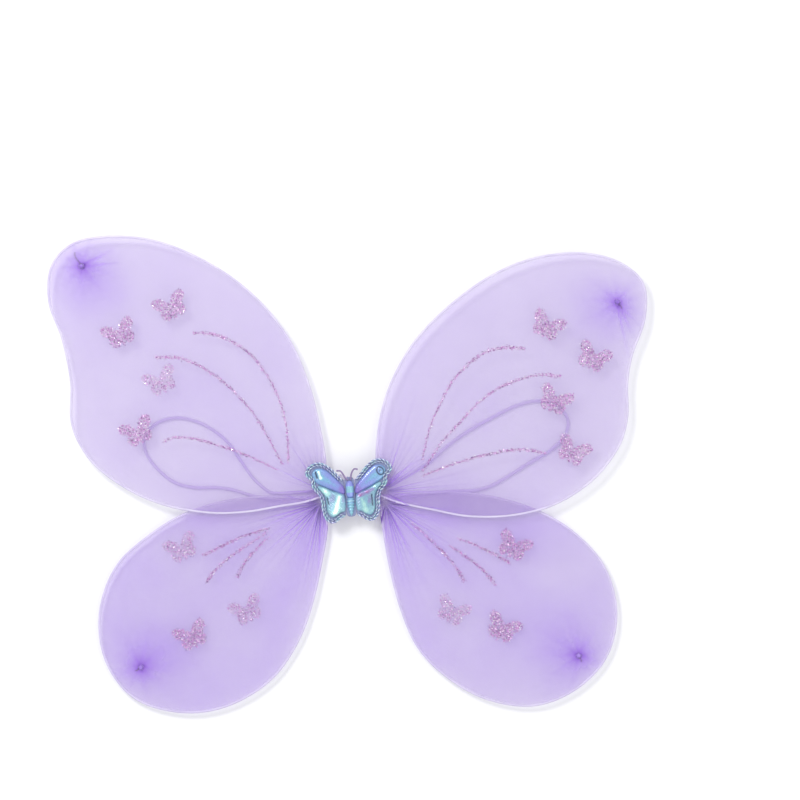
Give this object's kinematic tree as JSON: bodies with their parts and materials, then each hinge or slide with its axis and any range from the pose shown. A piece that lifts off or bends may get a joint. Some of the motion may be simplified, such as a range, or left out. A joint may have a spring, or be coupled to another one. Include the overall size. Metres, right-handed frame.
{
  "type": "fairy wings",
  "caption": "Child's fairy wings: mesh-covered wire hoops on a bound hub with elastic arm loops and a padded butterfly in front.",
  "frame": {"origin": "centre of the felt pad's underside, on the surface that the wings lie on", "axes": "+X across the wings, +Y towards the upper wings' tips, +Z out of the front face"},
  "size_m": [0.4681, 0.3733, 0.0175],
  "materials": {
    "mesh": "matte",
    "wire": "satin",
    "steel": "satin",
    "thread": "matte",
    "glitter": "gloss",
    "felt": "matte",
    "glue": "satin",
    "ribbon": "satin",
    "elastic": "matte",
    "puff_film": "gloss",
    "body_film": "gloss",
    "edging": "gloss",
    "backing": "matte",
    "antenna": "satin"
  },
  "bodies": {
    "hub": {"back_pad": "felt", "rear_glue": "glue", "ribbon_binding": "ribbon", "upper_wire_twist": "steel", "lower_wire_twist": "steel", "front_glue": "glue", "left_arm_loop": "elastic", "right_arm_loop": "elastic", "patch_spine_backing": "backing", "patch_thorax": "body_film", "patch_abdomen": "body_film", "patch_antennae": "antenna"},
    "upper_left_wing": {"upper_left_hoop": "wire", "upper_left_mesh": "mesh", "upper_left_root_tie": "thread", "upper_left_tip_tie": "thread", "upper_left_veins": "glitter", "upper_left_butterflies": "glitter"},
    "upper_right_wing": {"upper_right_hoop": "wire", "upper_right_mesh": "mesh", "upper_right_root_tie": "thread", "upper_right_tip_tie": "thread", "upper_right_veins": "glitter", "upper_right_butterflies": "glitter"},
    "lower_left_wing": {"lower_left_hoop": "wire", "lower_left_mesh": "mesh", "lower_left_root_tie": "thread", "lower_left_tip_tie": "thread", "lower_left_veins": "glitter", "lower_left_butterflies": "glitter"},
    "lower_right_wing": {"lower_right_hoop": "wire", "lower_right_mesh": "mesh", "lower_right_root_tie": "thread", "lower_right_tip_tie": "thread", "lower_right_veins": "glitter", "lower_right_butterflies": "glitter"},
    "patch_left_half": {"patch_left_backing": "backing", "patch_left_edging": "edging", "patch_left_upper_puff": "puff_film", "patch_left_lower_puff": "puff_film"},
    "patch_right_half": {"patch_right_backing": "backing", "patch_right_edging": "edging", "patch_right_upper_puff": "puff_film", "patch_right_lower_puff": "puff_film"}
  },
  "joints": [
    {"name": "left_fold", "type": "hinge", "parent": "hub", "child": "upper_left_wing", "pos_m": [-0.016, 0, 0.00815], "axis": [0, 1, 0], "range_deg": [0, 75]},
    {"name": "right_fold", "type": "hinge", "parent": "hub", "child": "upper_right_wing", "pos_m": [0.016, 0, 0.00815], "axis": [0, -1, 0], "range_deg": [0, 75]},
    {"name": "lower_left_splay", "type": "hinge", "parent": "upper_left_wing", "child": "lower_left_wing", "pos_m": [-0.0183, -0.003, 0.0064], "axis": [0, 0, -1], "range_deg": [-8, 14]},
    {"name": "lower_right_splay", "type": "hinge", "parent": "upper_right_wing", "child": "lower_right_wing", "pos_m": [0.0183, -0.003, 0.0064], "axis": [0, 0, 1], "range_deg": [-8, 14]},
    {"name": "patch_left_lift", "type": "hinge", "parent": "hub", "child": "patch_left_half", "pos_m": [-0.00549, 0.00362, 0.0166], "axis": [-0.0698, 0.9976, 0], "range_deg": [0, 75]},
    {"name": "patch_right_lift", "type": "hinge", "parent": "hub", "child": "patch_right_half", "pos_m": [0.00249, 0.00418, 0.0166], "axis": [0.0698, -0.9976, 0], "range_deg": [0, 75]}
  ],
  "couplings": [
    {"joint": "patch_left_lift", "follows": "left_fold", "ratio": 1},
    {"joint": "patch_right_lift", "follows": "right_fold", "ratio": 1}
  ]
}
